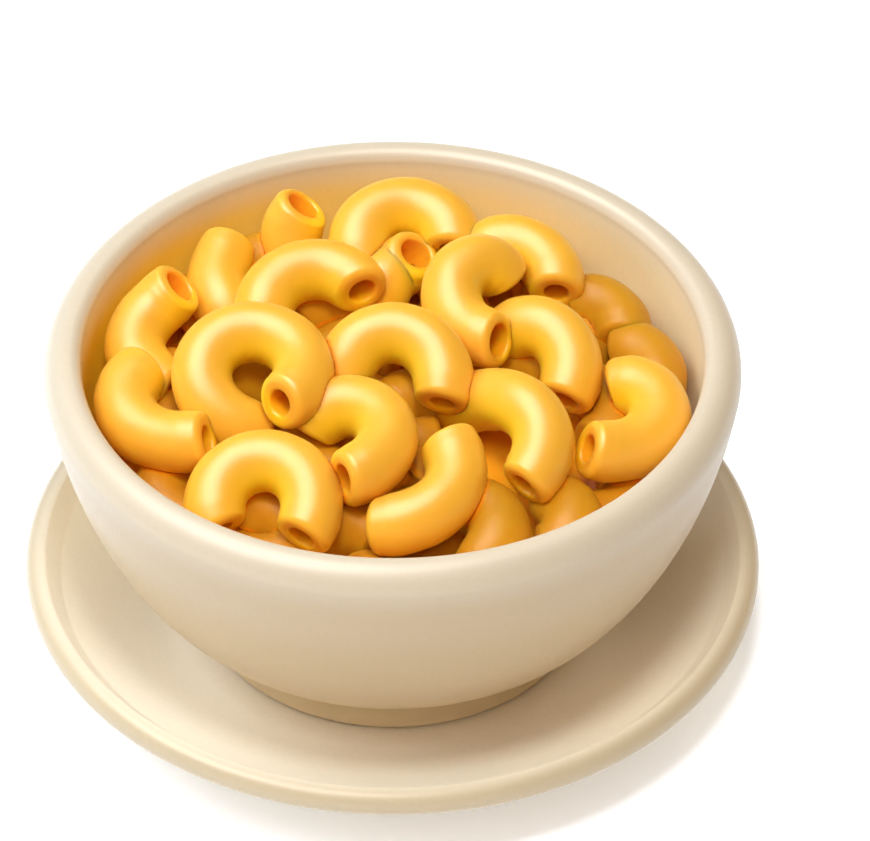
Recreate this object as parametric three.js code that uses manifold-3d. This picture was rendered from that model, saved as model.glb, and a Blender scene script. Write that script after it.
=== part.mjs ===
// A small round bowl heaped with cooked elbow macaroni in cheese sauce, standing on its saucer.
// Millimetres, +Z up. The origin is on the bowl's axis, at the plane the saucer stands on.
// -Y is the near side and +X the right-hand side.
import * as THREE from "three";
import { mergeVertices } from "three/addons/utils/BufferGeometryUtils.js";
import Module from "manifold-3d";

const wasm = await Module();
wasm.setup();

// ---------------------------------------------------------------- driving dimensions
const CLEARANCE = 0.3; // left between pieces that touch
const TURNS = 40; // facets round the bowl and the saucer
const MERGE_DISTANCE = 0.001;
const UPRIGHT = Math.PI / 2; // a lathe turns about +Y, so its work is tipped up to +Z

// saucer
const SAUCER_RADIUS = 70.1;
const SAUCER_EDGE = 2.6; // radius of the rolled edge
const SAUCER_EDGE_HEIGHT = 16.5; // middle of the rolled edge
const SAUCER_EDGE_TURN = [-62, 118]; // degrees, where the roll starts and ends
const SAUCER_INSIDE = { start: [63.9, 15.6], pull: [[56, 10.6], [48, 5.2]] }; // roll to well
const WELL_RADIUS = 42;
const WELL_TOP = 5.2;
const WELL_UNDERSIDE = 1.8;
const SAUCER_FOOT = { inner: 38, outer: 42, bevel: 1.3 };

// bowl
const BOWL_RADIUS = 65;
const BOWL_TOP = 68.7;
const MOUTH_RADIUS = 58; // inside the lip
const LIP_OUTER = 4.6; // fillet on the lip's outer edge
const LIP_INNER = 2.2; // fillet on the lip's inner edge
const FOOT_BOTTOM = WELL_TOP + CLEARANCE;
const FOOT_RADIUS = 36.7;
const FOOT_WIDTH = 4.5;
const FOOT_BEVEL = 0.8;
const FOOT_RECESS = 1.6;
const FOOT_TOP = 14; // where the foot meets the body
const FLOOR_TOP = 18;
const BODY_PULL = [[48.7, 15.3], [61.3, 38]]; // controls of the outer body's curve
const WALL_PULL = [[57.6, 40], [45, FLOOR_TOP]]; // controls of the inside curve
const FLOOR_RADIUS = 12; // flat middle of the floor
const WALL_STEPS = 9;

// macaroni: a bent tube, a little narrower at its cut ends
const TUBE = 5.8;
const TUBE_END = 5.45;
const CUT_BEVEL = 0.9; // how far the cut edge is rounded back
const BORE_DEPTH = 0.13; // share of the length to which a hole is bored
const END_SHARE = 0.1; // share of the length over which the end narrows
const SHOWING = { sides: 8, steps: 6, bevelled: true };
const BURIED = { sides: 6, steps: 4, bevelled: false };
const STATIONS = 100; // places along the axis where its frame is worked out

// the sauce-bound mass under the elbows
const MASS_EDGE = 46; // its height at the wall
const MASS_CROWN = 51; // and in the middle
const MASS_PULL = [40, 20]; // radii of the controls of its top's curve

// Elbows that lie on top, placed by eye, one a row.
// at: middle of the bend. arc: where it runs from and to, in degrees from +X. bend: radius of the axis.
// tilt: far side up, then right side down, in degrees. lift: how far each end leaves the plane of the
// bend. splay: how far each end swings out from its circle. holes: radius of the hole where an end
// shows it, otherwise 0.
const HOLES = 6; // the row's last column
const TOP = [
  // at                 arc         tilt      bend  lift         splay        holes
  [[-39, 11, 60],       [94, 255],  [12, -2], 9.5,  [4.5, -1],   [1, 1],      [3.2, 0]],
  [[-23.5, 29.5, 59.5], [127, 235], [8, 0],   10,   [0.5, -2],   [3, 1]],
  [[-10, 40.5, 61],     [134, 225], [60, 0],  9.5,  [1, 0],      [0.5, 0.5],  [3.2, 0]],
  [[2.5, 36.5, 64],     [208, -8],  [10, 1],  9,    [-3, -1]],
  [[21, 27, 62],        [120, -19], [11, -2], 9.5,  [-2, 0],     [0, 1],      [0, 2.4]],
  [[-14.5, 16.5, 64],   [195, 21],  [12, -1], 9.5,  [-2, 0.6],   [1, 0],      [0, 2.6]],
  [[6.5, 25.5, 59.6],   [104, 180], [7, 0],   9,    [4, -4],     [-1, 0],     [3.1, 0]],
  [[20.5, 16.5, 66.5],  [83, 268],  [18, 6],  9.5,  [-5, 4],     [-2, 2.5],   [0, 3.2]],
  [[23.5, 1.5, 63],     [104, -42], [15, 2],  9.8,  [-6, -1],    [1, 1.5],    [0, 2.7]],
  [[-26.3, -5, 66],     [-62, 280], [18, -2], 9.2,  [6, -6.5],   [2.5, 0],    [2.5, 0]],
  [[-0.5, -5, 66],      [175, -35], [18, -4], 9,    [-3, -1],    [-0.5, 2.5], [0, 2.4]],
  [[-40, -7, 61],       [123, 296], [6, -3],  9.7,  [-0.5, 3],   [1.5, 4.5],  [0, 2.5]],
  [[39.5, -10.5, 61],   [80, -107], [5, 0],   10,   [-2, 4],     [-1, 3.5],   [0, 2.6]],
  [[-10.5, -22, 65],    [128, -84], [2, -2],  9.5,  [-5, 1.5],   [-0.5, 3.5], [0, 2.7]],
  [[18, -23, 65],       [112, -60], [15, -3], 9.5,  [-15, -0.5], [10, 2],     [0, 2.6]],
  [[1, -30, 62],        [40, -114], [7, -6],  10.5, [1.5, -1],   [1.5, 1]],
  [[-24, -35.5, 61.5],  [-52, 210], [16, -8], 8.5,  [0, -2],     [3, 0.5],    [2.6, 0]],
];

// Elbows half hidden under those, seen in the gaps and along the wall, given in the same way.
const UNDER = [
  // at                arc         tilt      bend lift        splay
  [[34, 18, 57],       [88, -15],  [1, 0],   9.5, [-1, -0.5], [0, 0.5]],
  [[40, 6, 56],        [72, -22],  [2, 0],   9.5, [-1.5, -1], [0, 1]],
  [[10.5, -39.5, 57],  [74, -58],  [1, 0],   9,   [-1, -4],   [0, -0.5]],
  [[24, -36, 56],      [62, -40],  [0, 0],   9,   [-2, -2.5], [0, -2]],
  [[34.5, -20, 52],    [-100, 50], [4, 8],   9.5],
  [[-33.5, -22.5, 52], [115, 265], [6, -6],  9],
  [[-9, -42, 53],      [20, 160],  [4, 3],   8.5],
  [[-8, -10, 54],      [85, 265],  [8, 4],   9.5],
  [[-11, 18, 55],      [35, 150],  [10, -5], 9.5],
  [[-26, -3, 54],      [25, 160],  [6, 8],   9],
  [[-24, -38, 52],     [30, 150],  [4, 2],   9],
  [[24, 3, 54],        [30, 155],  [8, -6],  9],
  [[-22, 32, 55],      [60, 175],  [8, 0],   9],
  [[6, -9, 55],        [40, 140],  [5, 5],   9],
  [[32, -3, 54],       [-65, 60],  [3, 5],   9.5],
  [[-4, -24, 53],      [-70, 60],  [4, 4],   9],
  [[-36, 2, 53],       [110, 245], [6, -4],  9],
  [[12, 30, 53],       [20, 170],  [6, 4],   9.5],
  [[-5, 9, 53],        [15, 195],  [5, -6],  9.5],
  [[7, 14, 53],        [-65, 95],  [5, 6],   9.5],
  [[10, -19, 53],      [95, 275],  [4, -4],  9],
  [[28, 20, 53],       [-85, 55],  [5, 5],   9],
  [[21, 33, 54],       [15, 130],  [4, 5],   9.5],
  [[-32.5, 23.5, 53],  [70, 185],  [5, -5],  9.5],
  [[-23, -31.5, 50],   [190, 325], [-4, -5], 9.5],
  [[3, -39.5, 49.5],   [195, 340], [-4, 3],  9.5],
  [[27, -28, 50],      [-100, 10], [-4, 5],  9.5],
];

// ---------------------------------------------------------------- materials
const GLAZE = new THREE.MeshStandardMaterial({ color: "#e9dcc4", roughness: 0.32, metalness: 0 });
const PASTA = new THREE.MeshStandardMaterial({ color: "#f5b22e", roughness: 0.3, metalness: 0 });

// ---------------------------------------------------------------- outlines
const degrees = THREE.MathUtils.degToRad;
const point = (x, y) => new THREE.Vector2(x, y);

function arc(x, y, radius, [from, to], steps) {
  const curve = new THREE.EllipseCurve(x, y, radius, radius, degrees(from), degrees(to));
  return curve.getPoints(steps);
}

function bezier(start, pulls, end, steps) {
  const controls = [start, ...pulls, end].map((spot) => point(...spot));
  return new THREE.CubicBezierCurve(...controls).getPoints(steps);
}

// Turns an outline of (radius, height) points, from the axis and back to it, about the Z axis.
function turned(outline) {
  return new THREE.LatheGeometry(outline, TURNS).rotateX(UPRIGHT);
}

function saucerOutline() {
  const edge = SAUCER_RADIUS - SAUCER_EDGE;
  const { inner, outer, bevel } = SAUCER_FOOT;
  const { start, pull } = SAUCER_INSIDE;
  return [
    point(0, WELL_UNDERSIDE),
    point(inner - bevel, WELL_UNDERSIDE),
    point(inner, 0),
    point(outer, 0),
    point(outer + bevel, WELL_UNDERSIDE),
    ...arc(edge, SAUCER_EDGE_HEIGHT, SAUCER_EDGE, SAUCER_EDGE_TURN, 7),
    ...bezier(start, pull, [WELL_RADIUS, WELL_TOP], 4),
    point(0, WELL_TOP),
  ];
}

// The inside curve from the lip down to the flat of the floor, moved in and up by a margin.
function wallCurve(margin) {
  const start = [MOUTH_RADIUS, BOWL_TOP - LIP_INNER];
  const curve = bezier(start, WALL_PULL, [FLOOR_RADIUS, FLOOR_TOP], WALL_STEPS);
  return curve.map(({ x, y }) => point(x - margin, y + margin));
}

function bowlOutline() {
  const bodyTop = [BOWL_RADIUS, BOWL_TOP - LIP_OUTER];
  const footInside = FOOT_RADIUS - FOOT_WIDTH;
  return [
    point(0, FOOT_BOTTOM + FOOT_RECESS),
    point(footInside - FOOT_BEVEL, FOOT_BOTTOM + FOOT_RECESS),
    point(footInside, FOOT_BOTTOM),
    point(FOOT_RADIUS - FOOT_BEVEL, FOOT_BOTTOM),
    point(FOOT_RADIUS, FOOT_BOTTOM + FOOT_BEVEL),
    ...bezier([FOOT_RADIUS - FOOT_BEVEL, FOOT_TOP], BODY_PULL, bodyTop, 8),
    ...arc(BOWL_RADIUS - LIP_OUTER, BOWL_TOP - LIP_OUTER, LIP_OUTER, [20, 90], 3),
    ...arc(MOUTH_RADIUS + LIP_INNER, BOWL_TOP - LIP_INNER, LIP_INNER, [90, 150], 2),
    ...wallCurve(0),
    point(0, FLOOR_TOP),
  ];
}

function massOutline() {
  const wall = wallCurve(CLEARANCE).filter(({ y }) => y < MASS_EDGE).reverse();
  const shoulder = wall[wall.length - 1];
  const pulls = MASS_PULL.map((radius) => [radius, MASS_CROWN]);
  const crown = bezier([shoulder.x, MASS_EDGE], pulls, [0, MASS_CROWN], 5);
  return [point(0, FLOOR_TOP + CLEARANCE), ...wall, ...crown];
}

// ---------------------------------------------------------------- elbows
// The axis of one elbow: a circle's arc whose ends leave its plane and swing out, tipped into place.
class ElbowAxis extends THREE.Curve {
  constructor([at, [from, to], [up, over], bend, lift = [0, 0], splay = [0, 0]]) {
    super();
    Object.assign(this, { from, to, bend, lift, splay });
    const tip = new THREE.Matrix4().makeRotationX(degrees(up));
    this.place = new THREE.Matrix4().makeRotationY(degrees(over)).multiply(tip).setPosition(...at);
  }

  getPoint(t, target = new THREE.Vector3()) {
    const angle = degrees(THREE.MathUtils.lerp(this.from, this.to, t));
    const end = t < 0.5 ? 0 : 1;
    const towardsEnd = Math.abs(2 * t - 1) ** 3;
    const radius = this.bend + this.splay[end] * towardsEnd;
    const height = this.lift[end] * towardsEnd;
    return target.set(radius * Math.cos(angle), radius * Math.sin(angle), height).applyMatrix4(this.place);
  }
}

// One end of the tube's outline as [radius, share of the length], from the axis outwards.
// The hole has a slight bevel at its mouth.
function endRows(hole, length, bevelled) {
  const bevel = CUT_BEVEL / length;
  const cut = bevelled ? [[TUBE_END - CUT_BEVEL, 0], [TUBE_END, bevel]] : [[TUBE_END, 0]];
  return hole ? [[0, BORE_DEPTH], [hole, BORE_DEPTH], [hole, bevel / 2], ...cut] : [[0, 0], ...cut];
}

// A straight turned tube with its outline, carried along the axis row by row.
function elbow(row, { sides, steps, bevelled }) {
  const axis = new ElbowAxis(row);
  const length = axis.getLength();
  const [holeStart, holeFinish] = row[HOLES] ?? [0, 0];
  const start = endRows(holeStart, length, bevelled);
  const finish = endRows(holeFinish, length, bevelled).map(([radius, share]) => [radius, 1 - share]);
  const body = Array.from({ length: steps }, (_, i) => [
    TUBE,
    THREE.MathUtils.lerp(END_SHARE, 1 - END_SHARE, i / (steps - 1)),
  ]);
  const rows = [...start, ...body, ...finish.reverse()];
  const tube = new THREE.LatheGeometry(rows.map(([radius, share]) => point(radius, share)), sides);

  const frames = axis.computeFrenetFrames(STATIONS, false);
  const place = tube.getAttribute("position");
  for (let i = 0; i < place.count; i++) {
    const share = place.getY(i);
    const station = Math.round(share * STATIONS);
    const spot = axis.getPointAt(share)
      .addScaledVector(frames.binormals[station], place.getX(i))
      .addScaledVector(frames.normals[station], place.getZ(i));
    place.setXYZ(i, ...spot);
  }
  return tube;
}

// ---------------------------------------------------------------- joining
function solidOf(geometry) {
  const bare = geometry.clone();
  bare.deleteAttribute("normal");
  bare.deleteAttribute("uv");
  const merged = mergeVertices(bare, MERGE_DISTANCE);
  const vertProperties = merged.getAttribute("position").array;
  const triVerts = new Uint32Array(merged.index.array);
  const solid = new wasm.Manifold(new wasm.Mesh({ numProp: 3, vertProperties, triVerts }));
  if (solid.volume() <= 0) {
    throw new Error("a solid is inside out");
  }
  return solid;
}

function geometryOf(solid) {
  const mesh = solid.getMesh();
  const geometry = new THREE.BufferGeometry();
  geometry.setAttribute("position", new THREE.BufferAttribute(mesh.vertProperties, 3));
  geometry.setIndex(new THREE.BufferAttribute(mesh.triVerts, 1));
  geometry.computeVertexNormals();
  return geometry;
}

// The mass and its elbows as one solid. Only the outer surface is kept, so sealed pockets are filled.
function heap() {
  const shapes = [
    turned(massOutline()),
    ...TOP.map((row) => elbow(row, SHOWING)),
    ...UNDER.map((row) => elbow(row, BURIED)),
  ];
  const joined = shapes.map(solidOf).reduce((whole, next) => whole.add(next));
  const bodies = joined.decompose().sort((a, b) => b.volume() - a.volume());
  return geometryOf(bodies[0]);
}

// ---------------------------------------------------------------- the object
function piece(name, geometry, material) {
  const mesh = new THREE.Mesh(geometry, material);
  mesh.name = name;
  return mesh;
}

const meal = new THREE.Group();
meal.add(piece("saucer", turned(saucerOutline()), GLAZE));
meal.add(piece("bowl", turned(bowlOutline()), GLAZE));
meal.add(piece("macaroni", heap(), PASTA));

export default meal;
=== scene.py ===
"""A small stoneware bowl heaped with elbow macaroni in cheese sauce, on its saucer.

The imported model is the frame. Every piece here stands in metres in that frame, +Z up, with the
origin on the bowl's axis at the plane that the saucer stands on. -Y is the near side.
"""

import bpy
import numpy as np
from bpy.props import FloatProperty, FloatVectorProperty, PointerProperty, StringProperty
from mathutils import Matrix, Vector


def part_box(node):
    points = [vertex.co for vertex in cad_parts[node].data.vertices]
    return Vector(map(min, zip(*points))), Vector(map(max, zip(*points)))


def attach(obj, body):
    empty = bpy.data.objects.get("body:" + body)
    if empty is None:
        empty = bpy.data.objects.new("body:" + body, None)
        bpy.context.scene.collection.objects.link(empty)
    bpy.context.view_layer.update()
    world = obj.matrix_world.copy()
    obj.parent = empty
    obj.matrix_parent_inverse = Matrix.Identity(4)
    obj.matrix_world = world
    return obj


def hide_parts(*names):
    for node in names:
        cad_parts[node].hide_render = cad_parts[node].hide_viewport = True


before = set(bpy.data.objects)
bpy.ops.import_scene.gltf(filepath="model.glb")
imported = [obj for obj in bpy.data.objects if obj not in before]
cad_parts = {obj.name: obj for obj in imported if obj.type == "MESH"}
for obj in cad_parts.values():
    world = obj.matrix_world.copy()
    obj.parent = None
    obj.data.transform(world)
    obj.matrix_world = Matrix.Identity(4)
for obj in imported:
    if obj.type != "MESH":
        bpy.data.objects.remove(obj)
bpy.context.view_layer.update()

bl_info = {
    "name": "Bowl of Macaroni and Cheese",
    "version": (1, 0, 0),
    "blender": (4, 5, 0),
    "location": "3D View > Sidebar > Macaroni",
    "description": "Makes a stoneware bowl of macaroni in cheese sauce, its saucer and a plain studio",
    "category": "Add Mesh",
}

BODY = "root"
MM = 0.001

# ---------------------------------------------------------------- sizes from the frame
SAUCER_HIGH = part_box("saucer")[1]
BOWL_LOW, BOWL_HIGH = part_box("bowl")
HEAP_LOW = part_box("macaroni")[0]
GAP = 0.3 * MM  # left between pieces that touch
SAUCER_RADIUS = SAUCER_HIGH.x
BOWL_RADIUS = BOWL_HIGH.x
BOWL_TOP = BOWL_HIGH.z
FOOT_BOTTOM = BOWL_LOW.z
WELL_TOP = FOOT_BOTTOM - GAP
FLOOR_TOP = HEAP_LOW.z - GAP
TURNS = 192  # facets round the bowl and the saucer
WALL_POINTS = 60  # points down the inside of the bowl's wall where it is measured
WAVE_COUNT = 7  # sines in the soft unevenness
WAVE_SPREAD = (0.7, 1.5)  # their lengths, as shares of the size asked for
WAVE_GAIN = 1.6  # makes up for the sines' mean, which seldom comes near 1

# ---------------------------------------------------------------- macaroni, in millimetres
# Elbows that lie on top, one a row.
# at: middle of the bend. arc: where it runs from and to, in degrees from +X. bend: radius of the axis.
# tilt: far side up, then right side down, in degrees. lift: how far each end leaves the plane of the
# bend. splay: how far each end swings out from its circle. holes: radius of the hole where an end
# shows it, otherwise 0.
COLUMNS = ("at", "arc", "tilt", "bend", "lift", "splay", "holes")
LEVEL = (0, 0)
TOP = [
    # at              arc         tilt      bend  lift         splay        holes
    ((-39, 11, 60),      (94, 255),  (12, -2), 9.5,  (4.5, -1),   (1, 1),      (3.2, 0)),
    ((-23.5, 29.5, 59.5), (127, 235), (8, 0),  10,   (0.5, -2),   (3, 1),      (0, 0)),
    ((-10, 40.5, 61),    (134, 225), (60, 0),  9.5,  (1, 0),      (0.5, 0.5),  (3.2, 0)),
    ((2.5, 36.5, 64),    (208, -8),  (10, 1),  9,    (-3, -1),    (0, 0),      (0, 0)),
    ((21, 27, 62),       (120, -19), (11, -2), 9.5,  (-2, 0),     (0, 1),      (0, 2.4)),
    ((-14.5, 16.5, 64),  (195, 21),  (12, -1), 9.5,  (-2, 0.6),   (1, 0),      (0, 2.6)),
    ((6.5, 25.5, 59.6),  (104, 180), (7, 0),   9,    (4, -4),     (-1, 0),     (3.1, 0)),
    ((20.5, 16.5, 66.5), (83, 268),  (18, 6),  9.5,  (-5, 4),     (-2, 2.5),   (0, 3.2)),
    ((23.5, 1.5, 63),    (104, -42), (15, 2),  9.8,  (-6, -1),    (1, 1.5),    (0, 2.7)),
    ((-26.3, -5, 66),    (-62, 280), (18, -2), 9.2,  (6, -6.5),   (2.5, 0),    (2.5, 0)),
    ((-0.5, -5, 66),     (175, -35), (18, -4), 9,    (-3, -1),    (-0.5, 2.5), (0, 2.4)),
    ((-40, -7, 61),      (123, 296), (6, -3),  9.7,  (-0.5, 3),   (1.5, 4.5),  (0, 2.5)),
    ((39.5, -10.5, 61),  (80, -107), (5, 0),   10,   (-2, 4),     (-1, 3.5),   (0, 2.6)),
    ((-10.5, -22, 65),   (128, -84), (2, -2),  9.5,  (-5, 1.5),   (-0.5, 3.5), (0, 2.7)),
    ((18, -23, 65),      (112, -60), (15, -3), 9.5,  (-15, -0.5), (10, 2),     (0, 2.6)),
    ((1, -30, 62),       (40, -114), (7, -6),  10.5, (1.5, -1),   (1.5, 1),    (0, 0)),
    ((-24, -35.5, 61.5), (-52, 210), (16, -8), 8.5,  (0, -2),     (3, 0.5),    (2.6, 0)),
]

# Elbows half hidden under those, seen in the gaps and along the wall, given in the same way.
UNDER = [
    # at              arc         tilt      bend lift        splay
    ((34, 18, 57),       (88, -15),  (1, 0),   9.5, (-1, -0.5), (0, 0.5)),
    ((40, 6, 56),        (72, -22),  (2, 0),   9.5, (-1.5, -1), (0, 1)),
    ((10.5, -39.5, 57),  (74, -58),  (1, 0),   9,   (-1, -4),   (0, -0.5)),
    ((24, -36, 56),      (62, -40),  (0, 0),   9,   (-2, -2.5), (0, -2)),
    ((34.5, -20, 52),    (-100, 50), (4, 8),   9.5),
    ((-33.5, -22.5, 52), (115, 265), (6, -6),  9),
    ((-9, -42, 53),      (20, 160),  (4, 3),   8.5),
    ((-8, -10, 54),      (85, 265),  (8, 4),   9.5),
    ((-11, 18, 55),      (35, 150),  (10, -5), 9.5),
    ((-26, -3, 54),      (25, 160),  (6, 8),   9),
    ((-24, -38, 52),     (30, 150),  (4, 2),   9),
    ((24, 3, 54),        (30, 155),  (8, -6),  9),
    ((-22, 32, 55),      (60, 175),  (8, 0),   9),
    ((6, -9, 55),        (40, 140),  (5, 5),   9),
    ((32, -3, 54),       (-65, 60),  (3, 5),   9.5),
    ((-4, -24, 53),      (-70, 60),  (4, 4),   9),
    ((-36, 2, 53),       (110, 245), (6, -4),  9),
    ((12, 30, 53),       (20, 170),  (6, 4),   9.5),
    ((-5, 9, 53),        (15, 195),  (5, -6),  9.5),
    ((7, 14, 53),        (-65, 95),  (5, 6),   9.5),
    ((10, -19, 53),      (95, 275),  (4, -4),  9),
    ((28, 20, 53),       (-85, 55),  (5, 5),   9),
    ((21, 33, 54),       (15, 130),  (4, 5),   9.5),
    ((-32.5, 23.5, 53),  (70, 185),  (5, -5),  9.5),
    ((-23, -31.5, 50),   (190, 325), (-4, -5), 9.5),
    ((3, -39.5, 49.5),   (195, 340), (-4, 3),  9.5),
    ((27, -28, 50),      (-100, 10), (-4, 5),  9.5),
]


# ---------------------------------------------------------------- settings
def length(name, description, default):
    """A size in metres."""
    return FloatProperty(name=name, description=description, default=default, unit="LENGTH",
                         subtype="DISTANCE", precision=5)


def colour(name, description, default):
    """A colour written as an sRGB hex value."""
    return StringProperty(name=name, description=description, default=default)


def power(name, description, default):
    """A lamp's power in watts."""
    return FloatProperty(name=name, description=description, default=default, unit="POWER")


class MACARONI_PG_stoneware(bpy.types.PropertyGroup):
    """Sizes and colours of the bowl and the saucer."""

    saucer_edge: length("Saucer edge", "Radius of the saucer's rolled edge", 2.6 * MM)
    lip_outer: length("Lip, outside", "Fillet on the lip's outer edge", 4.6 * MM)
    lip_inner: length("Lip, inside", "Fillet on the lip's inner edge", 2.2 * MM)
    mouth: length("Mouth", "Inner radius just under the lip", 58 * MM)
    foot_width: length("Foot width", "Width of the bowl's foot ring", 4.5 * MM)
    lip_glaze: colour("Lip glaze", "Colour of the glaze on the bowl's lip", "#cfba9c")
    # Painted shade: the glaze down the outside is darker and warmer than on the lip.
    bowl_glaze_shaded: colour("Bowl glaze", "Colour of the glaze down the outside of the bowl", "#c5a87f")
    # Painted light: the glaze at the foot is paler again, where the saucer's shade falls.
    foot_glaze_lit: colour("Foot glaze", "Colour of the glaze at the bowl's foot", "#e0c69c")
    # Painted light: the glaze inside the bowl is paler than on the lip.
    inner_glaze_lit: colour("Inner glaze", "Colour of the glaze inside the bowl", "#ebd9af")
    # Partly a layer of sauce on the inside wall and partly painted shade and painted orange bounce light
    # from the pasta, heaviest on the shaded left.
    film: colour("Film", "Colour of the inside wall where sauce has left a film", "#ffcb26")
    # Painted light: the saucer's glaze is paler than the bowl's, against the shade that the bowl casts on
    # it.
    saucer_glaze_lit: colour("Saucer glaze", "Colour of the glaze pooled in the saucer", "#f8eace")
    # Painted shade: the rolled edge is darker, fully on its outer side.
    edge_glaze_shaded: colour("Edge glaze", "Colour of the thinner glaze on the saucer's edge", "#c8b08b")


class MACARONI_PG_pasta(bpy.types.PropertyGroup):
    """Sizes and colours of the macaroni and its sauce."""

    tube: length("Tube", "Radius of an elbow's tube", 5.8 * MM)
    tube_end: length("Tube end", "Radius of the tube at its cut ends", 5.45 * MM)
    bore: length("Bore", "Radius of the hole where the row gives none", 2.5 * MM)
    # pale and deep: painted light at the top of the heap and painted shade lower down; deep is also a colour
    # of the sauce.
    pale: colour("Pale", "Colour of the thinly coated pasta at the top of the heap", "#edad32")
    deep: colour("Deep", "Colour of the thinly coated pasta lower down", "#eeaa22")
    # Painted light: a brighter, warmer colour on the sides that face down or into the bend, where shade
    # falls.
    shaded_side_light: colour("Thick", "Colour of pasta where the sauce lies thickly", "#f6c518")
    # low and lowest: darker colours for the elbows under the rest, painted shade.
    low: colour("Low", "Colour of the pasta under the rest", "#ce9016")
    lowest: colour("Lowest", "Colour of the lowest pasta", "#c07c12")
    # Painted shade: deeper orange in the gaps between elbows, along the bowl's wall and in the holes; also a
    # colour of the sauce itself.
    pooled: colour("Pooled", "Colour of the sauce gathered in gaps and in the holes", "#f2900c")
    # Painted shade: darker red-brown in the narrowest creases.
    crease_shade: colour("Crease", "Colour of the sauce in the narrowest creases", "#b45a06")
    uneven: length("Unevenness", "How far the sauce coat varies in thickness", 0.09 * MM)


class MACARONI_PG_studio(bpy.types.PropertyGroup):
    """Light and camera."""

    window: power("Window", "Power of the lamp behind the left side", 8.4)
    side: power("Side", "Power of the low lamp at the left", 3.2)
    left: power("Left", "Power of the lamp above the left side", 4.9)
    front: power("Front", "Power of the lamp in front", 3.4)
    top: power("Top", "Power of the lamp above the near side", 6.2)
    back: power("Back", "Power of the low lamp behind the right side", 4.6)
    gloss: power("Gloss", "Power of the card above the bowl, seen only as the shine on wet things", 17.0)
    floor: FloatProperty(name="Floor", description="Strength of the light within the floor", default=0.26)
    aim: FloatVectorProperty(name="Aim", description="Point that the camera looks at", size=3,
                             default=(0, 0, 50.4 * MM), unit="LENGTH", subtype="XYZ")
    distance: length("Distance", "From the camera to the point it looks at", 1127 * MM)


# ---------------------------------------------------------------- shapes as arrays
def arc(centre, radii, start, end, count):
    """Points on an ellipse: centre plus radii times cosine and sine, from one angle to the other."""
    angle = np.radians(np.linspace(start, end, count))
    return np.stack([centre[0] + radii[0] * np.cos(angle), centre[1] + radii[1] * np.sin(angle)], -1)


def bezier(points, count):
    """Points on the cubic curve with four control points, weighted by the Bernstein polynomials."""
    a, b, c, d = (np.array(point, float) for point in points)
    t = np.linspace(0, 1, count)[:, None]
    return (1 - t) ** 3 * a + 3 * (1 - t) ** 2 * t * b + 3 * (1 - t) * t**2 * c + t**3 * d


def ease(value):
    """Rises smoothly from 0 to 1 as the value does: 3v squared less 2v cubed."""
    value = np.clip(value, 0, 1)
    return value * value * (3 - 2 * value)


def fade(value, start, end):
    """Goes smoothly from 0 where the value is at the start to 1 where it is at the end."""
    return ease((value - start) / (end - start))


def turned(outline, sides=TURNS):
    """Rings about the Z axis: each outline point (radius, height) at every angle round the axis."""
    outline = np.concatenate(outline)
    angle = np.linspace(0, 2 * np.pi, sides, endpoint=False)
    radius, height = outline[:, :1], outline[:, 1:]
    return np.stack([radius * np.cos(angle), radius * np.sin(angle), height + 0 * angle], -1)


def skin(name, stacks):
    """A mesh of closed skins. stacks has the shape (skins, rings, sides, 3), and the first and last
    ring of each skin is one point. Neighbouring rings are joined by quads, and the ends by fans."""
    count, rings, sides, _ = stacks.shape
    middle = stacks[:, 1:-1].reshape(count, -1, 3)
    points = np.concatenate([stacks[:, 0, :1], middle, stacks[:, -1, :1]], 1)
    side = np.arange(sides)
    after = (side + 1) % sides
    row = 1 + sides * np.arange(rings - 3)[:, None]
    quads = np.stack([row + side, row + after, row + sides + after, row + sides + side], -1)
    last = points.shape[1] - 1
    first_fan = np.stack([0 * side, 1 + after, 1 + side], -1)
    last_fan = np.stack([last + 0 * side, last - sides + side, last - sides + after], -1)
    step = (last + 1) * np.arange(count)[:, None, None]
    faces = (quads.reshape(1, -1, 4) + step).reshape(-1, 4).tolist()
    for fan in (first_fan, last_fan):
        faces += (fan[None] + step).reshape(-1, 3).tolist()
    mesh = bpy.data.meshes.new(name)
    mesh.from_pydata(points.reshape(-1, 3), [], faces)
    mesh.shade_smooth()
    made = bpy.data.objects.new(name, mesh)
    bpy.context.scene.collection.objects.link(made)
    return made


def waves(points, size, seed):
    """Soft unevenness of about -1 to 1: WAVE_GAIN times the mean of sines along random directions,
    whose crests lie about size apart."""
    random = np.random.default_rng(seed)
    total = 0
    for _ in range(WAVE_COUNT):
        direction = random.normal(size=3)
        direction *= 2 * np.pi / (size * random.uniform(*WAVE_SPREAD) * np.linalg.norm(direction))
        total = total + np.sin(points @ direction + random.uniform(0, 2 * np.pi))
    return total / WAVE_COUNT * WAVE_GAIN


def finish_piece(made, material, slot, *nodes):
    """Gives a piece its material, hides the nodes it stands for and sets it on its body; slot is not used.
    """
    made.data.materials.append(material)
    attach(made, BODY)
    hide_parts(*nodes)


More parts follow.
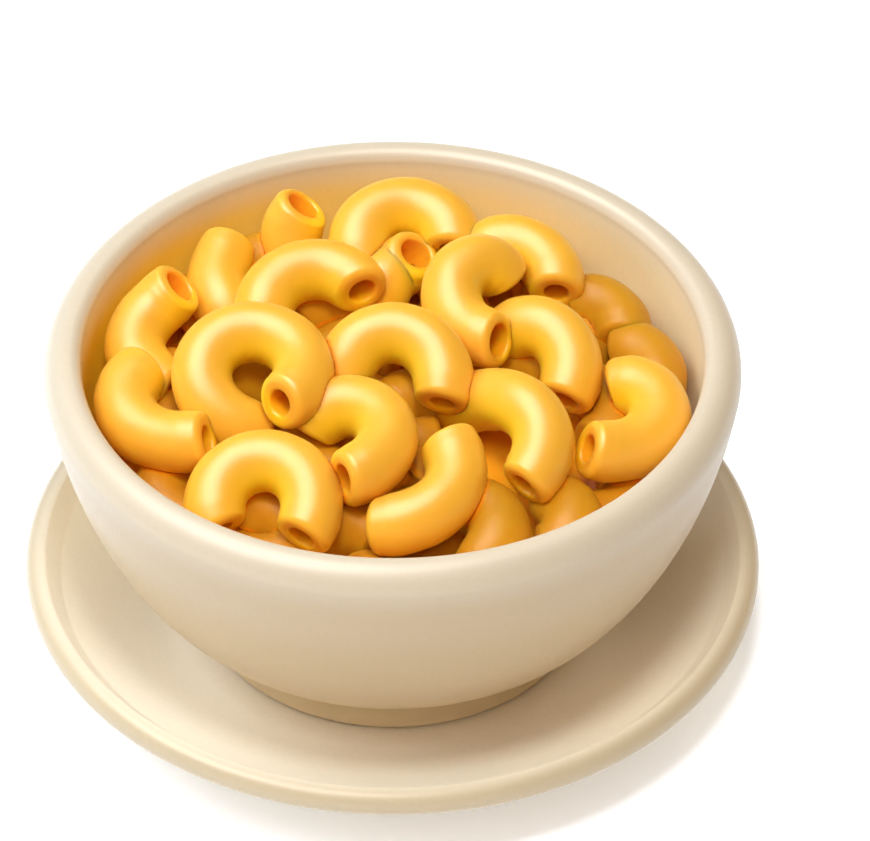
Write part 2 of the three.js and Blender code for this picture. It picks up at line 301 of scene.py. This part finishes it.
# ---------------------------------------------------------------- stoneware outlines
def saucer_outline(ware):
    """From the axis under the well, out over the foot ring and the rolled edge, and back over the
    top to the axis, as (radius, height)."""
    edge = SAUCER_RADIUS - ware.saucer_edge
    height = SAUCER_HIGH.z - ware.saucer_edge
    under = 1.8 * MM
    foot_in, foot_out, bevel = 38 * MM, 42 * MM, 1.3 * MM
    return [
        [(0, under)],
        arc((foot_in - bevel, 0), (bevel, under), 90, 0, 8),
        arc((foot_out, bevel / 2), (bevel / 2, bevel / 2), -90, -10, 6),
        [(foot_out + bevel, under)],
        arc((edge, height), (ware.saucer_edge, ware.saucer_edge), -62, 118, 36),
        bezier([(63.9 * MM, 15.6 * MM), (56 * MM, 10.6 * MM), (48 * MM, WELL_TOP), (42 * MM, WELL_TOP)], 36),
        [(0, WELL_TOP)],
    ]


INNER_STRETCH = 5  # of the bowl's outline, the stretch where the inside begins
FILM_SHADE_SIDE = np.radians(170)  # where the layer of sauce, with painted shade and painted orange bounce light, is heaviest, from +X
FILM_SHADE_MEAN, FILM_SHADE_SWING = 0.55, 0.45  # its strength: the mean round the bowl, and the swing about it
FADES = {  # the bowl's fields, in the order of their glazes: heights where each starts and is full; the glazes paint light and shade
    "body": (BOWL_TOP - 1 * MM, BOWL_TOP - 11 * MM),
    "foot": (32 * MM, 14 * MM),
    "within": (BOWL_TOP - 0.5 * MM, BOWL_TOP - 3.5 * MM),
    "film": (BOWL_TOP - 1 * MM, BOWL_TOP - 10 * MM),
}


def wall_curve(ware, count):
    """The inside of the bowl from under the lip down to the flat of its floor."""
    return bezier(
        [
            (ware.mouth, BOWL_TOP - ware.lip_inner),
            (57.6 * MM, 40 * MM),
            (45 * MM, FLOOR_TOP),
            (12 * MM, FLOOR_TOP),
        ],
        count,
    )


def bowl_outline(ware):
    """From the axis under the foot, up the outside, over the lip and down the inside to the axis."""
    foot, foot_top, recess, bevel = 36.7 * MM, 14 * MM, 1.6 * MM, 0.8 * MM
    foot_in = foot - ware.foot_width
    outer = (BOWL_RADIUS - ware.lip_outer, BOWL_TOP - ware.lip_outer)
    inner = (ware.mouth + ware.lip_inner, BOWL_TOP - ware.lip_inner)
    return [
        [(0, FOOT_BOTTOM + recess)],
        arc((foot_in - bevel, FOOT_BOTTOM), (bevel, recess), 90, 0, 8),
        arc((foot - bevel, FOOT_BOTTOM + bevel), (bevel, bevel), -90, 0, 8),
        bezier(
            [
                (foot - bevel, foot_top),
                (48.7 * MM, 15.3 * MM),
                (61.3 * MM, 38 * MM),
                (BOWL_RADIUS, outer[1]),
            ],
            56,
        ),
        arc(outer, (ware.lip_outer, ware.lip_outer), 4, 90, 22),
        arc(inner, (ware.lip_inner, ware.lip_inner), 90, 176, 14),
        wall_curve(ware, 56),
        [(0, FLOOR_TOP)],
    ]


# ---------------------------------------------------------------- macaroni shapes
TOP_SIDES, UNDER_SIDES = 48, 36  # facets round a tube
BODY_POINTS = 34  # rings between an elbow's two tapers
PLUG, WALL, LIP, RIM = 6, 5, 6, 9  # points on the stretches of a cut end, from its axis outwards
TAPER = 4 * MM  # from a cut end to the tube's full radius
REST = [0.3, 0.65, 1]  # shares of the taper that carry a ring
MOUTH_LIP = 0.6 * MM  # rounding at the mouth of the hole
DEEP = 0.06  # how open the bottom of a hole lies
FACE = 0.16  # how open the inner edge of a cut face lies
SIDE_LIGHT_ALL_ROUND = 0.35  # painted light on any side of an elbow, from 0 to 1
SIDE_LIGHT_IN, SIDE_LIGHT_DOWN = 0.45, 0.55  # and how much it gains on a side that faces into the bend, or down
SAUCE_TURNS = 144  # facets round the sauce that the heap lies in
LUMP_SEED = 7  # for its lumps
COAT_WAVE = 8 * MM  # about how far apart the coat of sauce is thick
SQUASH = 0.02  # how far a tube is flattened at most, as a share of its radius
AXIS_POINTS = 60  # points that stand for an axis when a gap is measured
MEASURES = 401  # points on an axis when its length is measured
REACH = 4 * MM  # gaps to a neighbour are noted up to this


def sizes(row):
    """A row's values by the names of their columns, with 0 for those that it leaves out."""
    return {name: row[i] if i < len(row) else LEVEL for i, name in enumerate(COLUMNS)}


def elbow_axis(row, stops):
    """Points on an elbow's axis, and two directions square to it at each point. stops gives their
    distances along the axis from its length. The axis is an arc of a circle whose radius and height
    grow towards each end with the cube of the distance from the middle."""
    size = sizes(row)
    up, over = np.radians(size["tilt"])
    tip = np.array([[1, 0, 0], [0, np.cos(up), -np.sin(up)], [0, np.sin(up), np.cos(up)]])
    turn = np.array([[np.cos(over), 0, np.sin(over)], [0, 1, 0], [-np.sin(over), 0, np.cos(over)]])
    place = turn @ tip

    def spots(t):
        angle = np.radians(size["arc"][0] + (size["arc"][1] - size["arc"][0]) * t)
        outwards = np.abs(2 * t - 1) ** 3
        radius = size["bend"] + np.where(t < 0.5, *size["splay"]) * outwards
        height = np.where(t < 0.5, *size["lift"]) * outwards
        flat = np.stack([radius * np.cos(angle), radius * np.sin(angle), height], -1)
        return (flat @ place.T + size["at"]) * MM

    t = np.linspace(0, 1, MEASURES)
    run = np.concatenate([[0], np.cumsum(np.linalg.norm(np.diff(spots(t), axis=0), axis=1))])
    t = np.interp(stops(run[-1]), run, t)
    step = 1e-4
    tangent = spots(np.minimum(t + step, 1)) - spots(np.maximum(t - step, 0))
    tangent /= np.linalg.norm(tangent, axis=-1, keepdims=True)
    across = place[:, 2] - tangent * (tangent @ place[:, 2])[:, None]
    across /= np.linalg.norm(across, axis=-1, keepdims=True)
    return spots(t), across, np.cross(tangent, across)


def cut_end(pasta, hole):
    """One cut end of the tube as (radius, distance from the end), from the axis outwards: the sauce
    that plugs the bore, the bore's wall, its rounded mouth, the cut face and the rounded outer rim."""
    lip, depth, crown = MOUTH_LIP, 6.5 * MM, 0.8 * MM
    rim = (1.6 * MM, 1.44 * MM)  # rounding across the cut face, and along the tube
    bore = hole * MM or pasta.bore
    plug = np.linspace(0, bore, PLUG)
    rows = np.concatenate([
        np.stack([plug, depth + crown * (1 - (plug / bore) ** 2)], -1),
        np.stack([np.full(WALL, bore), np.linspace(0.85 * depth, 1.5 * lip, WALL)], -1),
        arc((bore + lip, lip), (lip, lip), 180, 262, LIP),
        arc((pasta.tube_end - rim[0], rim[1]), rim, -86, -5, RIM),
    ])
    start = rows[-1, 1]
    distance = start + (TAPER - start) * np.array(REST)
    radius = pasta.tube_end + (pasta.tube - pasta.tube_end) * ease((distance - start) / (TAPER - start))
    return np.concatenate([rows, np.stack([radius, distance], -1)])


def elbow(pasta, row, sides, seed):
    """One elbow: the tube's outline carried round its bent axis, a little uneven in thickness, and how much
    painted light brightens it: most on the sides that face down or into the bend, where shade falls."""
    random = np.random.default_rng(seed)
    start, finish = (cut_end(pasta, hole) for hole in sizes(row)["holes"])
    radius = np.concatenate([start[:, 0], np.full(BODY_POINTS, pasta.tube), finish[::-1, 0]])

    def stops(run):
        body = np.linspace(TAPER, run - TAPER, BODY_POINTS + 2)[1:-1]
        return np.concatenate([start[:, 1], body, run - finish[::-1, 1]])

    centre, across, out = elbow_axis(row, stops)
    angle = np.linspace(0, 2 * np.pi, sides, endpoint=False)
    flat = random.uniform(-SQUASH, SQUASH)
    way = across[:, None] * ((1 + flat) * np.cos(angle))[:, None]
    way = way + out[:, None] * ((1 - flat) * np.sin(angle))[:, None]
    rings = centre[:, None] + way * radius[:, None, None]
    coat = pasta.uneven * waves(rings, COAT_WAVE, seed) * np.minimum(radius / pasta.tube, 1)[:, None]
    inwards = np.array(sizes(row)["at"]) * MM - centre
    inwards /= np.linalg.norm(inwards, axis=-1, keepdims=True)
    facing_in, facing_up = (way * inwards[:, None]).sum(-1), way[..., 2]
    # painted light on the sides that face down or into the bend
    sauce = ease(SIDE_LIGHT_ALL_ROUND + SIDE_LIGHT_IN * facing_in - SIDE_LIGHT_DOWN * facing_up)
    return rings + way * coat[..., None], sauce


def hollowness():
    """For each ring of an elbow, how open it lies, from 0 deep in the bore to 1 on the outside: low
    along the bore's wall, and then rising over the mouth's lip and the cut face. The less open, the more
    painted shade."""
    end = np.concatenate([
        np.full(PLUG, DEEP),
        np.linspace(DEEP, 2 * DEEP, WALL),
        np.linspace(2 * DEEP, FACE, LIP),
        np.linspace(FACE, 1, RIM),
        np.ones(len(REST)),
    ])
    return np.concatenate([end, np.ones(BODY_POINTS), end[::-1]])


def gaps(ware, pasta, rings, own, axes):
    """The gap from each point of an elbow to its nearest neighbour or the bowl's wall, as a share of
    REACH: the least distance to any point on another elbow's axis, less the tube's radius. Painted
    shade goes where it is small."""
    far = 3 * pasta.tube  # an axis beyond this is out of reach
    low, high = rings.min((0, 1)) - far, rings.max((0, 1)) + far
    others = np.concatenate([axis for i, axis in enumerate(axes) if i != own])
    others = others[((others > low) & (others < high)).all(-1)]
    points = rings.reshape(-1, 3)
    square = (points**2).sum(-1)[:, None] + (others**2).sum(-1) - 2 * points @ others.T
    gap = np.sqrt(square.min(1).clip(0)) - pasta.tube
    wall = wall_curve(ware, WALL_POINTS)[::-1]
    to_wall = np.interp(points[:, 2], wall[:, 1], wall[:, 0]) - np.hypot(points[:, 0], points[:, 1])
    gap = np.minimum(gap, to_wall).reshape(rings.shape[:2])
    return np.minimum(np.clip(gap / REACH, 0, 1), hollowness()[:, None])


def set_field(made, name, values):
    """Keeps a number for every point of a skin, given by ring and side like its points."""
    count, rings, sides = values.shape
    middle = values[:, 1:-1].reshape(count, -1)
    values = np.concatenate([values[:, 0, :1], middle, values[:, -1, :1]], 1)
    made.data.attributes.new(name, "FLOAT", "POINT").data.foreach_set(
        "value", values.astype(np.float32).ravel())


def elbows(ware, pasta, name, rows, sides, axes):
    """The elbows of some rows of the heap as one mesh, with two fields: the painted light on their sides
    that face down or into the bend, and the gap to their neighbours, where painted shade goes."""
    heap = TOP + UNDER
    stacks, sauce = (np.stack(part) for part in zip(*(elbow(pasta, heap[i], sides, i) for i in rows)))
    made = skin(name, stacks)
    # the field named sauce holds the painted light on the shaded sides
    set_field(made, "sauce", sauce)
    near = [gaps(ware, pasta, rings, i, axes) for rings, i in zip(stacks, rows)]
    set_field(made, "gap", np.stack(near))
    return made


# ---------------------------------------------------------------- materials
GLAZE_GRAIN = 0.9 * MM  # coarser than in a real glaze, so that it shows
PASTA_GRAIN = 1.2 * MM  # also coarser than it is, for the same reason
COAT_CLOUD, SAUCE_CLOUD = 7 * MM, 5 * MM  # patches of thicker sauce, on the elbows and between them
HEAP_FOOT, HEAP_CREST = 55 * MM, 68 * MM  # heights between which the pasta turns from deep to pale: painted shade low in the heap, painted light at its top
CREASE_SHADE_SHARE, GAP_SHADE_SHARE = 0.06, 0.25  # gaps narrower than these shares of REACH get painted shade, darkest in the narrowest


def linear(hex_colour):
    """The linear RGBA of an sRGB hex colour."""
    value = [int(hex_colour[i : i + 2], 16) / 255 for i in (1, 3, 5)]
    return [v / 12.92 if v <= 0.04045 else ((v + 0.055) / 1.055) ** 2.4 for v in value] + [1]


def add(tree, kind, inputs=None, **settings):
    """Adds a node with its settings, and gives its inputs their values or links."""
    made = tree.nodes.new(kind)
    for name, value in settings.items():
        setattr(made, name, value)
    for name, value in (inputs or {}).items():
        if isinstance(value, bpy.types.NodeSocket):
            tree.links.new(value, made.inputs[name])
        else:
            made.inputs[name].default_value = value
    return made


def new_material(name):
    """A node material with nothing in it yet, and its node tree."""
    material = bpy.data.materials.new(name)
    material.use_nodes = True
    material.node_tree.nodes.clear()
    return material, material.node_tree


def mix(tree, factor, first, second, **settings):
    """A colour mixed from two others, each a socket or a hex colour."""
    made = add(tree, "ShaderNodeMix", {"Factor": factor}, data_type="RGBA", **settings)
    for place, value in ((6, first), (7, second)):
        if isinstance(value, str):
            made.inputs[place].default_value = linear(value)
        else:
            tree.links.new(value, made.inputs[place])
    return made.outputs[2]


def stoneware_glaze(name, glazes):
    """Glazed stoneware, slip cast and dipped: a satin cream glaze with a very fine grain. Each further
    glaze, with the name of a field on the piece, takes over from those before it as the field says.
    The glazes are paler and darker copies of the cream that paint light and shade, and on the bowl one
    is a layer of sauce with painted shade."""
    material, tree = new_material(f"cream_stoneware_glaze_{name}")
    place = add(tree, "ShaderNodeTexCoord").outputs["Object"]
    grain = add(tree, "ShaderNodeTexNoise", {"Vector": place, "Scale": 1 / GLAZE_GRAIN, "Detail": 3})
    shade, *further = glazes
    for field, glaze in further:
        amount = add(tree, "ShaderNodeAttribute", attribute_name=field).outputs["Fac"]
        shade = mix(tree, amount, shade, glaze)
    dim = add(tree, "ShaderNodeMapRange", {"Value": grain.outputs["Fac"], "To Min": 1, "To Max": 0.93})
    grey = add(tree, "ShaderNodeCombineColor", {i: dim.outputs["Result"] for i in range(3)})
    grained = mix(tree, 1, shade, grey.outputs[0], blend_type="MULTIPLY")
    rough = add(tree, "ShaderNodeMapRange", {"Value": grain.outputs["Fac"], "To Min": 0.3, "To Max": 0.42})
    bump = add(tree, "ShaderNodeBump", {"Height": grain.outputs["Fac"], "Strength": 0.2,
                                        "Distance": 0.02 * MM})
    shader = add(tree, "ShaderNodeBsdfPrincipled", {
        "Base Color": grained,
        "Roughness": rough.outputs["Result"],
        "Normal": bump.outputs["Normal"],
        "IOR": 1.5,
    })
    add(tree, "ShaderNodeOutputMaterial", {"Surface": shader.outputs["BSDF"]})
    return material


def sauced_pasta(pasta, name, pale, deep, shaded_side_light, coat, shine):
    """Cooked wheat pasta coated in cheese sauce: soft and translucent under a wet, even gloss. Its colour
    holds painted light and shade: deeper orange low in the heap and deepest in the gaps and holes as
    painted shade, paler at the top of the heap and brighter on the sides that face down or into the
    bend as painted light. pale and deep are the colours high and low in the heap, and the third colour
    that of those sides."""
    material, tree = new_material(name)
    place = add(tree, "ShaderNodeTexCoord").outputs["Object"]
    height = add(tree, "ShaderNodeSeparateXYZ", {"Vector": place}).outputs["Z"]
    level = add(tree, "ShaderNodeMapRange", {"Value": height, "From Min": HEAP_FOOT, "From Max": HEAP_CREST})
    cloud = add(tree, "ShaderNodeTexNoise", {"Vector": place, "Scale": 1 / COAT_CLOUD, "Detail": 2})
    drift = add(tree, "ShaderNodeMapRange", {"Value": cloud.outputs["Fac"], "To Min": -0.15, "To Max": 0.15})
    mixed = add(tree, "ShaderNodeMath", {0: level.outputs["Result"], 1: drift.outputs["Result"]},
                use_clamp=True)
    # gap: where painted shade goes, in the gaps, along the wall and in the holes
    gap = add(tree, "ShaderNodeAttribute", attribute_name="gap").outputs["Fac"]
    narrow, wide = (
        add(tree, "ShaderNodeMapRange", {"Value": gap, "From Max": share}, interpolation_type="SMOOTHSTEP")
        for share in (CREASE_SHADE_SHARE, GAP_SHADE_SHARE)
    )
    # painted light on the sides that face down or into the bend
    sauce = add(tree, "ShaderNodeAttribute", attribute_name="sauce").outputs["Fac"]
    # painted light at the top of the heap and painted shade lower down, with a random drift
    height_shaded = mix(tree, mixed.outputs["Value"], deep, pale)
    # painted light: brighter and warmer on the sides that face down or into the bend
    coated = mix(tree, sauce, height_shaded, shaded_side_light)
    # painted shade: deeper orange in the gaps, darker red-brown in the narrowest creases
    gathered = mix(tree, narrow.outputs["Result"], pasta.crease_shade, pasta.pooled)
    bump = add(tree, "ShaderNodeBump", {"Height": cloud.outputs["Fac"], "Strength": 0.2,
                                        "Distance": 0.1 * MM})
    grain = add(tree, "ShaderNodeTexNoise", {"Vector": place, "Scale": 1 / PASTA_GRAIN, "Detail": 2})
    rough = add(tree, "ShaderNodeMapRange", {"Value": grain.outputs["Fac"], "To Min": 0.4, "To Max": 0.5})
    shader = add(tree, "ShaderNodeBsdfPrincipled", {
        "Base Color": mix(tree, wide.outputs["Result"], gathered, coated),
        "Roughness": rough.outputs["Result"],
        "Normal": bump.outputs["Normal"],
        "IOR": 1.45,
        "Specular IOR Level": shine,
        "Subsurface Weight": 0.7,
        "Subsurface Radius": (1.0, 0.85, 0.4),
        "Subsurface Scale": 2.2 * MM,
        "Coat Weight": coat,
        "Coat Roughness": 0.38,
        "Coat IOR": 1.55,
        "Sheen Weight": 0.12,
        "Sheen Roughness": 0.25,
        "Sheen Tint": linear("#ffd23c"),
    })
    add(tree, "ShaderNodeOutputMaterial", {"Surface": shader.outputs["BSDF"]})
    return material


def cheese_sauce(pasta):
    """Thick cheese sauce, cooked smooth: glossy and a deeper orange than the coated pasta."""
    material, tree = new_material("thick_cheese_sauce")
    place = add(tree, "ShaderNodeTexCoord").outputs["Object"]
    cloud = add(tree, "ShaderNodeTexNoise", {"Vector": place, "Scale": 1 / SAUCE_CLOUD, "Detail": 3})
    shader = add(tree, "ShaderNodeBsdfPrincipled", {
        "Base Color": mix(tree, cloud.outputs["Fac"], pasta.pooled, pasta.deep),
        "Roughness": 0.45,
        "IOR": 1.42,
        "Specular IOR Level": 0.25,
        "Subsurface Weight": 0.3,
        "Subsurface Radius": (1.0, 0.4, 0.1),
        "Subsurface Scale": 3 * MM,
    })
    add(tree, "ShaderNodeOutputMaterial", {"Surface": shader.outputs["BSDF"]})
    return material


# ---------------------------------------------------------------- light, floor and camera
LAMP_DISTANCE = 1.0  # from the aim, in metres
LAMPS = {  # each lamp's angle from +X and its height, in degrees, its size in metres and its colour
    "window": (137, 27, 0.6, "#d2e5ff"),
    "side": (180, 20, 0.6, "#cde3ff"),
    "left": (208, 60, 0.6, "#e1f1ff"),
    "front": (270, 52, 0.6, "#fff4f2"),
    "top": (270, 70, 0.22, "#edf6ff"),
    "back": (58, 20, 0.6, "#fff7e5"),
    "gloss": (170, 73, 1.0, "#ffffff"),
}
FLOOR_REACH = 6  # metres from the bowl's axis to each side of the floor
PHOTO_WIDTH = 870  # pixels
AXIS_PIXEL = 392.6  # where the bowl's axis stands, from the photo's left edge
FOCAL_PIXELS = 6000  # the lens's focal length in pixels of the photo
ELEVATION = 40.4  # of the camera above the floor, in degrees


def white_floor(studio):
    """Matt white backdrop paper, a little brighter than the lamps alone make it: one square sheet."""
    mesh = bpy.data.meshes.new("floor")
    corners = [(-1, -1), (1, -1), (1, 1), (-1, 1)]
    mesh.from_pydata([(x * FLOOR_REACH, y * FLOOR_REACH, 0) for x, y in corners], [], [(0, 1, 2, 3)])
    floor = bpy.data.objects.new("floor", mesh)
    floor.location.z = -0.1 * MM
    material, tree = new_material("matt_white_backdrop_paper")
    shader = add(tree, "ShaderNodeBsdfPrincipled", {
        "Base Color": linear("#fbfbfa"),
        "Roughness": 0.9,
        "Emission Color": linear("#f2f6ff"),
        "Emission Strength": studio.floor,
    })
    add(tree, "ShaderNodeOutputMaterial", {"Surface": shader.outputs["BSDF"]})
    mesh.materials.append(material)
    bpy.context.scene.collection.objects.link(floor)


def round_lamp(studio, aim, name, azimuth, height, size, tint):
    """A round lamp that faces the aim. The gloss lamp gives things only their shine, and the others
    give only their diffuse light."""
    lamp = bpy.data.lights.new(name, "AREA")
    lamp.shape = "DISK"
    lamp.size = size
    lamp.energy = getattr(studio, name)
    lamp.color = linear(tint)[:3]
    made = bpy.data.objects.new(name, lamp)
    around, up = np.radians((azimuth, height))
    direction = Vector((np.cos(around) * np.cos(up), np.sin(around) * np.cos(up), np.sin(up)))
    made.location = aim + direction * LAMP_DISTANCE
    made.rotation_euler = direction.to_track_quat("Z", "Y").to_euler()
    made.visible_glossy = name == "gloss"
    made.visible_diffuse = name != "gloss"
    bpy.context.scene.collection.objects.link(made)


def photo_camera(studio, aim):
    """The camera, with the height, lens and shift that the photo shows."""
    camera = bpy.data.cameras.new("camera")
    camera.lens = FOCAL_PIXELS / PHOTO_WIDTH * camera.sensor_width
    camera.shift_x = (PHOTO_WIDTH / 2 - AXIS_PIXEL) / PHOTO_WIDTH
    made = bpy.data.objects.new("camera", camera)
    elevation = np.radians(ELEVATION)
    back = Vector((0, -np.cos(elevation), np.sin(elevation)))
    made.location = aim + back * studio.distance
    made.rotation_euler = back.to_track_quat("Z", "Y").to_euler()
    bpy.context.scene.collection.objects.link(made)
    return made


# ---------------------------------------------------------------- operators
class MACARONI_OT_saucer(bpy.types.Operator):
    """Make the saucer: a turned dish with a foot ring and a rolled edge, its glaze painted paler and darker
    on the edge as light and shade
    """

    bl_idname = "macaroni.saucer"
    bl_label = "Saucer"

    def execute(self, context):
        ware = context.scene.stoneware
        rings = turned(saucer_outline(ware))
        made = skin("saucer_glazed", rings[None])
        radius = np.hypot(rings[..., 0], rings[..., 1])
        edge = SAUCER_RADIUS - ware.saucer_edge
        # edge: where painted shade darkens the rolled edge
        set_field(made, "edge", fade(radius, edge - 2.5 * MM, edge + 2 * MM)[None])
        glaze = stoneware_glaze("saucer", [ware.saucer_glaze_lit, ("edge", ware.edge_glaze_shaded)])
        finish_piece(made, glaze, "saucer", "saucer")
        return {"FINISHED"}


class MACARONI_OT_bowl(bpy.types.Operator):
    """Make the bowl: a turned wall with a rounded lip and a foot ring, its glaze painted lighter and darker
    as light and shade, and its inside filmed with sauce and painted shade
    """

    bl_idname = "macaroni.bowl"
    bl_label = "Bowl"

    def execute(self, context):
        ware = context.scene.stoneware
        outline = bowl_outline(ware)
        rings = turned(outline)
        made = skin("bowl_glazed", rings[None])
        # painted light and shade by height: darker down the outside, paler at the foot and inside
        fields = {name: fade(rings[..., 2], *heights) for name, heights in FADES.items()}
        around = np.arctan2(rings[..., 1], rings[..., 0])
        # the layer of sauce and its painted shade and bounce light are heaviest on the left of the inside
        fields["film"] *= FILM_SHADE_MEAN + FILM_SHADE_SWING * np.cos(around - FILM_SHADE_SIDE)
        inner = sum(len(stretch) for stretch in outline[:INNER_STRETCH])
        for name in ("within", "film"):
            fields[name][:inner] = 0
        for name, values in fields.items():
            set_field(made, name, values[None])
        # after the lip's glaze: painted shade, painted light, painted light, and the layer of sauce with
        # painted shade
        further = zip(fields, (ware.bowl_glaze_shaded, ware.foot_glaze_lit, ware.inner_glaze_lit, ware.film))
        finish_piece(made, stoneware_glaze("bowl", [ware.lip_glaze, *further]), "bowl", "bowl")
        return {"FINISHED"}


class MACARONI_OT_elbows(bpy.types.Operator):
    """Make the elbow macaroni: those on top, and those half hidden under them"""

    bl_idname = "macaroni.elbows"
    bl_label = "Elbows"

    def execute(self, context):
        ware, pasta = context.scene.stoneware, context.scene.pasta
        upper = sauced_pasta(pasta, "cooked_pasta_in_glossy_sauce", pale=pasta.pale, deep=pasta.deep,
                             shaded_side_light=pasta.shaded_side_light, coat=0.7, shine=0.5)
        # the elbows under the rest: darker, as painted shade, and less glossy
        lower = sauced_pasta(pasta, "cooked_pasta_in_deep_sauce", pale=pasta.low, deep=pasta.lowest,
                             shaded_side_light=pasta.low, coat=0.1, shine=0.3)
        inset = pasta.tube  # so that the round end of an axis's reach stays within the cut end
        axes = [elbow_axis(row, lambda run: np.linspace(inset, run - inset, AXIS_POINTS))[0]
                for row in TOP + UNDER]
        top = range(len(TOP))
        under = range(len(TOP), len(TOP + UNDER))
        for name, rows, sides, material in (
            ("macaroni_top", top, TOP_SIDES, upper),
            ("macaroni_under", under, UNDER_SIDES, lower),
        ):
            made = elbows(ware, pasta, name, rows, sides, axes)
            finish_piece(made, material, "macaroni", "macaroni")
        return {"FINISHED"}


class MACARONI_OT_sauce(bpy.types.Operator):
    """Make the sauce that the heap lies in: the inside of the bowl filled to a lumpy, domed top"""

    bl_idname = "macaroni.sauce"
    bl_label = "Sauce"

    def execute(self, context):
        ware, pasta = context.scene.stoneware, context.scene.pasta
        edge, crown = 46 * MM, 51 * MM  # the height of its top, at the wall and in the middle
        lump, lump_size = 1.2 * MM, 12 * MM
        wall = wall_curve(ware, WALL_POINTS)[::-1]
        wall = wall[wall[:, 1] < edge] + (-GAP, GAP)
        shore = wall[-1, 0]
        top = bezier([(shore, edge), (40 * MM, crown), (20 * MM, crown), (0, crown)], 70)
        rings = turned([[(0, FLOOR_TOP + GAP)], wall, top], SAUCE_TURNS)
        lumpy = fade(rings[..., 2], edge - 2 * MM, edge + 2 * MM)
        lumpy *= fade(np.hypot(rings[..., 0], rings[..., 1]), shore, shore - 6 * MM)
        rings[..., 2] += lump * lumpy * waves(rings, lump_size, LUMP_SEED)
        rings[-1] = rings[-1].mean(0)
        made = skin("cheese_sauce", rings[None])
        finish_piece(made, cheese_sauce(pasta), "macaroni", "macaroni")
        return {"FINISHED"}


class MACARONI_OT_studio(bpy.types.Operator):
    """Make the stage: a white floor, large lamps all round on a black sky, and the camera"""

    bl_idname = "macaroni.studio"
    bl_label = "Studio"

    def execute(self, context):
        scene = context.scene
        studio = scene.studio
        aim = Vector(studio.aim)
        white_floor(studio)
        for name, lamp in LAMPS.items():
            round_lamp(studio, aim, name, *lamp)
        world = bpy.data.worlds.new("studio")
        world.use_nodes = True
        world.node_tree.nodes["Background"].inputs["Color"].default_value = linear("#000000")
        scene.world = world
        scene.view_settings.view_transform = "Standard"
        scene.camera = photo_camera(studio, aim)
        return {"FINISHED"}


class MACARONI_PT_panel(bpy.types.Panel):
    """Lists the pieces and their settings"""

    bl_idname = "MACARONI_PT_panel"
    bl_label = "Bowl of Macaroni"
    bl_space_type = "VIEW_3D"
    bl_region_type = "UI"
    bl_category = "Macaroni"

    def draw(self, context):
        layout = self.layout
        for operator in OPERATORS:
            layout.operator(operator.bl_idname)
        for group in SETTINGS:
            settings = getattr(context.scene, group)
            box = layout.box()
            for name in settings.bl_rna.properties.keys():
                if name not in ("rna_type", "name"):
                    box.prop(settings, name)


OPERATORS = (
    MACARONI_OT_saucer,
    MACARONI_OT_bowl,
    MACARONI_OT_elbows,
    MACARONI_OT_sauce,
    MACARONI_OT_studio,
)
SETTINGS = {"stoneware": MACARONI_PG_stoneware, "pasta": MACARONI_PG_pasta, "studio": MACARONI_PG_studio}


def register():
    """Registers the classes and hangs the settings on the scene."""
    for made in (*SETTINGS.values(), *OPERATORS, MACARONI_PT_panel):
        bpy.utils.register_class(made)
    for name, group in SETTINGS.items():
        setattr(bpy.types.Scene, name, PointerProperty(type=group))


def unregister():
    """Takes the settings and the classes away again."""
    for name in SETTINGS:
        delattr(bpy.types.Scene, name)
    for made in reversed((*SETTINGS.values(), *OPERATORS, MACARONI_PT_panel)):
        bpy.utils.unregister_class(made)


def main():
    register()
    bpy.ops.macaroni.saucer()
    bpy.ops.macaroni.bowl()
    bpy.ops.macaroni.elbows()
    bpy.ops.macaroni.sauce()
    bpy.ops.macaroni.studio()


if __name__ == "__main__":
    main()
